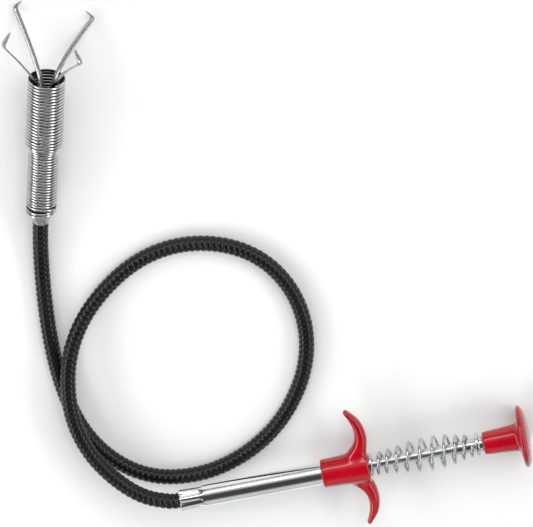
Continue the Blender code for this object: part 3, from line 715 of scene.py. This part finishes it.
def build_plunger():
    prof = fillet([(ROD_X0, 0.0), (ROD_X0, ROD_R), (ROD_X1, ROD_R), (ROD_X1, 0.0)], {1: 0.4, 2: 0.4})
    ob = link_mesh("plunger_rod_fine", turned(prof, 64, False), M_ROD, matrix=HANDLE)
    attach(ob, "plunger")
    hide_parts("plunger_rod")

    # Button: bore, tapered stem, flange with a rounded rim, dome with a pad
    stem = [(BUTTON_X0 + 0.5, 5.75), (BUTTON_X0 + 3.6, 6.1), (BUTTON_X0 + 8, 6.3), (BUTTON_X0 + 12, 6.65), (172.6, 7.05), (173.8, 7.5),
            (174.5, 8.6), (174.85, 11.0), (175.1, 13.8), (175.4, 15.1), (175.9, BUTTON_R - 0.25), (176.5, BUTTON_R), (177.2, BUTTON_R - 0.2),
            (177.8, BUTTON_R - 0.8), (178.3, BUTTON_R - 1.7)]
    top = []
    for r in (13.0, 11.0, 8.8, 6.5, 4.2, BUTTON_PAD_R):
        drop = math.sqrt(BUTTON_DOME_R ** 2 - BUTTON_PAD_R ** 2) - math.sqrt(BUTTON_DOME_R ** 2 - r ** 2)
        top.append((BUTTON_APEX_X - drop, r))
    prof = [(BUTTON_BORE_END, 0.0), (BUTTON_BORE_END, ROD_R + 0.35), (BUTTON_X0, ROD_R + 0.35), (BUTTON_X0, 5.2), (BUTTON_X0 + 0.15, 5.55)]
    prof += soften(stem + top, 4) + [(BUTTON_APEX_X, 0.0)]
    ob = link_mesh("thumb_button_fine", turned(prof, 128, False), M_RED, sharp=50, matrix=HANDLE)
    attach(ob, "plunger")
    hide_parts("thumb_button")

    # Rear seat: flange the spring bears on, and a hub
    prof = [(SLEEVE_X0, ROD_R + 0.3), (SEAT_R_X1, ROD_R + 0.3), (SEAT_R_X1, 4.1), (SEAT_R_X0 + 1.75, 4.1), (SEAT_R_X0 + 1.6, 6.1), (SEAT_R_X0, 6.1),
            (SEAT_R_X0, SLEEVE_R), (SLEEVE_X0, SLEEVE_R)]
    prof = fillet(prof + [prof[0]], {1: 0.15, 2: 0.3, 3: 0.35, 4: 0.35, 5: 0.45, 6: 0.3, 7: 0.25})[:-1]
    ob = link_mesh("rear_spring_seat_fine", turned(prof, 80, True), M_STEEL, matrix=HANDLE)
    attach(ob, "plunger")
    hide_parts("rear_spring_seat")

    # Front seat: cupped washer on the grip's back face
    z0, t = SEAT_F_X0, SEAT_F_T
    prof = [(z0, ROD_R + 0.35), (z0 + t, ROD_R + 0.35), (z0 + t, 4.9), (z0 + t - 0.35, 5.75), (z0, 5.75)]
    prof = fillet(prof + [prof[0]], {1: 0.15, 2: 0.3, 3: 0.3, 4: 0.3})[:-1]
    ob = link_mesh("front_spring_seat_fine", turned(prof, 80, True), M_STEEL, matrix=HANDLE)
    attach(ob, "root")
    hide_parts("front_spring_seat")


def build_return_spring():
    pts = []
    per = 40
    total = int(SPRING_TURNS * per)
    for i in range(total + 1):
        f = i / total
        a = 2 * math.pi * (SPRING_TURNS * f + SPRING_PHASE)
        r = SPRING_R_END + (SPRING_R_MID - SPRING_R_END) * max(0.0, math.sin(math.pi * f ** 1.2)) ** 1.8
        g = f - 0.035 * math.sin(2 * math.pi * f)
        z = SPRING_X0 + SPRING_WIRE_R + (SPRING_X1 - SPRING_X0 - 2 * SPRING_WIRE_R) * g
        pts.append(world((z, r * math.cos(a), HANDLE_Z - r * math.sin(a))))
    me = sweep("return_spring_fine", pts, SPRING_WIRE_R * MM, 16)
    ob = link_mesh("return_spring_fine", me, M_WIRE, sharp=50)
    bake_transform(ob)
    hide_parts("return_spring")


# ---------------------------------------------------------------------- head
def head_point(r, a, z):
    return HEAD @ Vector((r * math.cos(a) * MM, r * math.sin(a) * MM, z * MM))


def mark_gaps(me, radii, segs):
    """Store how deep each vertex lies below its own turn's crown, 0 to 1; the head wire's material paints shade between
    the turns with it.
    """
    inv = HEAD.inverted()
    co = np.array([tuple(inv @ v.co) for v in me.vertices])
    rad = np.hypot(co[:, 0], co[:, 1]) / MM
    ring = rad.reshape(-1, segs)
    depth = (ring.max(axis=1)[:, None] - ring) / np.asarray(radii)[:, None]
    at = me.attributes.new("depth", "FLOAT", "POINT")
    at.data.foreach_set("value", np.clip(depth, 0.0, 2.0).astype(np.float32).ravel())


def build_head_spring():
    wire_u, wire_l = 0.66, 0.64
    pitch_u, pitch_l = 1.70, 1.57
    z1 = -UPPER_LEN
    z2 = z1 - TAPER_LEN
    z3 = z2 - LOWER_LEN
    pts, radii = [], []
    per = 44
    z, a = -wire_u, math.radians(-60)
    end = z3 + 3.6
    while z > end:
        if z > z1:
            ro, w, p = UPPER_R, wire_u, pitch_u
        elif z > z2:
            f = (z1 - z) / TAPER_LEN
            f = f * f * (3 - 2 * f)
            ro, w, p = UPPER_R + (LOWER_R - UPPER_R) * f, wire_u + (wire_l - wire_u) * f, pitch_u + (pitch_l - pitch_u) * f
        else:
            ro, w, p = LOWER_R, wire_l, pitch_l
        # wound by machine, so each turn sits a hair off its neighbours
        wob = 0.05 * math.sin(a * 0.37) + 0.03 * math.sin(a * 0.83 + 1.0)
        pts.append(head_point(ro - w + wob * 0.6, a, z + 0.03 * math.sin(a * 0.5)))
        radii.append(w)
        a += 2 * math.pi / per
        # the first turn lies flat at the mouth
        turn = (-z - wire_u) / pitch_u
        z -= p / per * (0.35 + 0.65 * min(1.0, max(0.0, (a - math.radians(-60)) / (2 * math.pi))))
    # the wire's end springs out a little at the side
    for k in range(1, 9):
        a += 2 * math.pi / per
        pts.append(head_point(LOWER_R - wire_l + 0.10 * k, a, z - 0.02 * k))
        radii.append(wire_l)
    radii = np.array(radii)

    me = sweep("claw_housing_spring_coil", pts, lambda d, an, tot: np.repeat((radii * MM)[:, None], an.shape[1], 1), 14)
    ob = link_mesh("claw_housing_spring_coil", me, M_HEADWIRE, sharp=50)
    # two loose end turns that lie askew round the fitting
    pts2 = []
    turns = 2.35
    total = int(turns * per)
    for i in range(total + 1):
        f = i / total
        an = math.radians(-20) + 2 * math.pi * turns * f
        tilt = 1.15 * math.cos(an - math.radians(200)) * -1.0
        zz = z3 + 2.55 - 1.45 * turns * f + tilt * min(1.0, f * 1.6 + 0.25)
        rr = LOWER_R - wire_l + 0.12 + 0.10 * math.sin(an)
        if f > 0.96:
            rr += (f - 0.96) * 14.0
        pts2.append(head_point(rr, an, zz))
    me2 = sweep("claw_housing_spring_end", pts2, wire_l * MM, 14)
    mark_gaps(me, radii, 14)
    mark_gaps(me2, np.full(len(pts2), wire_l), 14)
    ob2 = link_mesh("claw_housing_spring_end", me2, M_HEADWIRE, sharp=50)
    for o in (ob, ob2):
        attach(o, "root")
    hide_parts("claw_housing_spring")


def build_fitting():
    z3 = -UPPER_LEN - TAPER_LEN - LOWER_LEN
    zs, zc, zn = z3 + FIT_SPIGOT_LEN, z3 - 0.3, -HEAD_LEN
    hexa = {}

    def shape(z, r, a):
        k = hexa.get(round(z, 4), 0.0)
        if not k or r < 3:
            return r
        b = a - math.radians(30)
        h = r * math.cos(math.pi / 6) / math.cos(((b + math.pi / 6) % (math.pi / 3)) - math.pi / 6)
        return r * (1 - k) + min(h, r * 0.985) * k
    prof = [(zs, FIT_BORE_R), (zs, FIT_SPIGOT_R - 0.4), (zs - 0.8, FIT_SPIGOT_R), (zc + 0.6, FIT_SPIGOT_R), (zc + 0.35, FIT_HEX_R)]
    body = [(zc, FIT_HEX_R + 0.05, 1.0), (zc - 0.4, FIT_HEX_R + 0.1, 1.0), (zc - 1.5, FIT_HEX_R + 0.1, 1.0), (zc - 2.8, FIT_HEX_R, 1.0), (zc - 3.4, FIT_HEX_R - 0.15, 1.0),
            (zc - 3.9, FIT_HEX_R - 0.6, 0.9), (zc - 4.5, FIT_NECK_R + 0.75, 0.7), (zc - 5.1, FIT_NECK_R + 0.4, 0.4)]
    for z, r, k in body:
        hexa[round(z, 4)] = k
        prof.append((z, r))
    prof += [(zn + 1.4, FIT_NECK_R + 0.15), (zn + 0.3, FIT_NECK_R + 0.05), (zn, FIT_NECK_R - 0.15), (zn, FIT_BORE_R)]
    ob = link_mesh("hose_end_fitting_fine", turned(prof, 144, True, shape), M_ZINC, sharp=24, matrix=HEAD)
    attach(ob, "root")
    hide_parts("hose_end_fitting")


def claw_path(bend, hook_in):
    am = math.radians(CLAW_MOUTH_SLOPE)
    root, mouth = (CLAW_ROOT_Z, CLAW_ROOT_R), (0.0, CLAW_MOUTH_R)
    a0 = math.atan2(mouth[1] - root[1], mouth[0] - root[0])
    a0 = a0 - (am - a0) * 0.8
    c = math.hypot(mouth[0] - root[0], mouth[1] - root[1])
    pts = [hermite(root, (math.cos(a0) * c, math.sin(a0) * c), mouth, (math.cos(am) * c, math.sin(am) * c), k / 16) for k in range(16)]
    c2 = math.hypot(bend[0] - mouth[0], bend[1] - mouth[1])
    a2 = math.atan2(bend[1] - mouth[1], bend[0] - mouth[0])
    ae = a2 + (a2 - am) * 0.6
    arm = [hermite(mouth, (math.cos(am) * c2, math.sin(am) * c2), bend, (math.cos(ae) * c2, math.sin(ae) * c2), k / 40) for k in range(41)]
    cut = 2.4
    keep = [p for p in arm if math.hypot(p[0] - bend[0], p[1] - bend[1]) > cut]
    pts += keep
    hk = math.radians(hook_in)
    tip = (bend[0] + HOOK_LEN * math.cos(hk), bend[1] - HOOK_LEN * math.sin(hk))
    b0 = keep[-1]
    b2 = (bend[0] + cut * math.cos(hk), bend[1] - cut * math.sin(hk))
    for k in range(1, 13):
        t = k / 12
        pts.append(tuple((1 - t) ** 2 * a + 2 * t * (1 - t) * b + t * t * c3 for a, b, c3 in zip(b0, bend, b2)))
    for k in range(1, 11):
        f = k / 10
        pts.append((b2[0] + (tip[0] - b2[0]) * f, b2[1] + (tip[1] - b2[1]) * f))
    return pts


def build_claws():
    for i, (turn, bend_z, bend_r, hook_in) in enumerate(CLAWS):
        pts = claw_path((bend_z, bend_r), hook_in)
        dist = [0.0]
        for a, b in zip(pts, pts[1:]):
            dist.append(dist[-1] + math.hypot(b[0] - a[0], b[1] - a[1]))
        rings = []
        for j, (z, r) in enumerate(pts):
            a, b = pts[max(0, j - 1)], pts[min(len(pts) - 1, j + 1)]
            l = math.hypot(b[0] - a[0], b[1] - a[1])
            tz, tr = (b[0] - a[0]) / l, (b[1] - a[1]) / l
            left = dist[-1] - dist[j]
            w = CLAW_W if left > 4.5 else CLAW_W * (0.36 + 0.64 * (left / 4.5) ** 0.8)
            h = CLAW_T if left > 2.5 else CLAW_T * (0.45 + 0.55 * left / 2.5)
            nz, nr = -tr, tz
            c = min(0.16, 0.3 * h)
            hw, hh = w / 2, h / 2
            sec = []
            for su, sv in ((-hw + c, -hh), (0, -hh), (hw - c, -hh), (hw - 0.3 * c, -hh + 0.3 * c), (hw, -hh + c), (hw, hh - c), (hw - 0.3 * c, hh - 0.3 * c), (hw - c, hh),
                           (0, hh), (-hw + c, hh), (-hw + 0.3 * c, hh - 0.3 * c), (-hw, hh - c), (-hw, -hh + c), (-hw + 0.3 * c, -hh + 0.3 * c)):
                sec.append(((r + sv * nr) * MM, su * MM, (z + sv * nz) * MM))
            rings.append(sec)
        me = grid_mesh("claw_%d_fine" % (i + 1), rings)
        ob = link_mesh("claw_%d_fine" % (i + 1), me, M_CLAW, sharp=50, matrix=HEAD @ Matrix.Rotation(math.radians(turn), 4, "Z"))
        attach(ob, "claw%d" % (i + 1))
        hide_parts("claw_%d" % (i + 1))


def finish_nodes():
    for name, mat in (("claw_hub", M_STEEL), ("cable_head", M_WIRE), ("cable_handle", M_WIRE), ("rod_guide_bush", M_NYLON), ("rod_stop_collar", M_STEEL)):
        ob = frame["nodes"][name]
        ob.data.materials.clear()
        ob.data.materials.append(mat)


# --------------------------------------------------------------------- stage
def build_stage():
    me = bpy.data.meshes.new("floor")
    s = 3.0
    me.from_pydata([(-s, -s, 0), (s, -s, 0), (s, s, 0), (-s, s, 0)], [], [(0, 1, 2, 3)])
    floor = bpy.data.objects.new("floor", me)
    floor.location.z = -0.00005
    n = Nodes("floor_paper")
    n.link(n.mix(n.remap(n.noise(3.0, 2.0), 0.3, 0.7, 0.0, 1.0), (0.62, 0.62, 0.62), (0.59, 0.59, 0.59)), n.bsdf.inputs["Base Color"])
    n.bsdf.inputs["Roughness"].default_value = 0.9
    n.bsdf.inputs["Specular IOR Level"].default_value = 0.1
    me.materials.append(n.mat)
    bpy.context.scene.collection.objects.link(floor)

    def area(name, loc, target, size, power, glossy=True):
        li = bpy.data.lights.new(name, "AREA")
        li.shape, li.size, li.size_y, li.energy = "RECTANGLE", size[0], size[1], power
        ob = bpy.data.objects.new(name, li)
        ob.location = loc
        ob.rotation_euler = (Vector(target) - Vector(loc)).to_track_quat("-Z", "Y").to_euler()
        ob.visible_glossy = glossy
        bpy.context.scene.collection.objects.link(ob)
        return ob

    area("key_soft", (0.5, 0.9, 1.6), (0, 0, 0), (1.4, 1.4), 28.0, False)
    area("fill_soft", (-1.0, -0.8, 1.3), (0, 0, 0), (1.2, 1.2), 15.0, False)

    # Studio seen in reflections: bright walls, a darker ceiling opening and a
    # thin strip light low on the far side.
    wd = bpy.data.worlds.new("studio")
    bpy.context.scene.world = wd
    wd.use_nodes = True
    nt = wd.node_tree
    nt.nodes.clear()
    out = nt.nodes.new("ShaderNodeOutputWorld")
    bg = nt.nodes.new("ShaderNodeBackground")
    tc = nt.nodes.new("ShaderNodeTexCoord")
    sep = nt.nodes.new("ShaderNodeSeparateXYZ")
    nt.links.new(tc.outputs["Generated"], sep.inputs[0])

    def m(op, a, b=None, clamp=False):
        nd = nt.nodes.new("ShaderNodeMath")
        nd.operation = op
        nd.use_clamp = clamp
        for sock, val in ((nd.inputs[0], a), (nd.inputs[1], b)):
            if val is None:
                continue
            if isinstance(val, (int, float)):
                sock.default_value = val
            else:
                nt.links.new(val, sock)
        return nd.outputs[0]

    def band(value, lo, hi, soft):
        """1 between lo and hi, soft edges."""
        def edge(v, a, b):
            nd = nt.nodes.new("ShaderNodeMapRange")
            nd.interpolation_type = "SMOOTHSTEP"
            nd.inputs["From Min"].default_value = a
            nd.inputs["From Max"].default_value = b
            nt.links.new(v, nd.inputs["Value"])
            return nd.outputs["Result"]
        up = edge(value, lo - soft, lo + soft)
        dn = edge(value, hi - soft, hi + soft)
        return m("MULTIPLY", up, m("SUBTRACT", 1.0, dn))
    x, y, z = sep.outputs
    # angle from straight up towards +Y, degrees
    phi = m("MULTIPLY", m("ARCTAN2", y, z), 180 / math.pi)
    xang = m("MULTIPLY", m("ARCTAN2", x, m("ABSOLUTE", z)), 180 / math.pi)
    dark = m("MULTIPLY", band(phi, -38.0, 36.0, 17.0), band(x, -0.78, 0.74, 0.12))
    low = band(phi, -200.0, -48.0, 10.0)
    line = band(phi, 83.0, 89.5, 1.2)
    strip = m("MULTIPLY", band(phi, 54.5, 62.5, 1.5), band(xang, -50.0, 50.0, 5.0))
    walls = m("SUBTRACT", 1.0, band(xang, -38.0, 38.0, 10.0))
    # long soft boxes on the left and on the right
    left = m("MULTIPLY", band(xang, -66.0, -52.0, 2.0), band(y, -0.55, 0.62, 0.05))
    right = m("MULTIPLY", band(xang, 46.0, 58.0, 2.0), band(y, -0.55, 0.62, 0.05))
    side = nt.nodes.new("ShaderNodeMapRange")
    side.inputs["From Min"].default_value = -1.0
    side.inputs["From Max"].default_value = 0.6
    side.inputs["To Min"].default_value = 0.55
    side.inputs["To Max"].default_value = 1.12
    nt.links.new(x, side.inputs["Value"])
    level = side.outputs["Result"]
    level = m("MULTIPLY", level, m("SUBTRACT", 1.0, m("MULTIPLY", dark, 0.93)))
    level = m("MULTIPLY", level, m("SUBTRACT", 1.0, m("MULTIPLY", walls, 0.62)))
    level = m("MULTIPLY", level, m("SUBTRACT", 1.0, m("MULTIPLY", low, 0.22)))
    level = m("MULTIPLY", level, m("SUBTRACT", 1.0, m("MULTIPLY", line, 0.75)))
    level = m("ADD", level, m("MULTIPLY", strip, 4.6))
    level = m("ADD", level, m("MULTIPLY", left, 6.0))
    level = m("ADD", level, m("MULTIPLY", right, 5.5))
    bg.inputs["Color"].default_value = (0.97, 1.0, 0.99, 1.0)
    nt.links.new(level, bg.inputs["Strength"])
    nt.links.new(bg.outputs[0], out.inputs[0])


LENGTH = build_hose()
build_tube()
build_grip()
build_plunger()
build_return_spring()
build_head_spring()
build_fitting()
build_claws()
finish_nodes()
build_stage()
bpy.context.scene.view_settings.view_transform = "Standard"
print("hose length", round(LENGTH, 4))
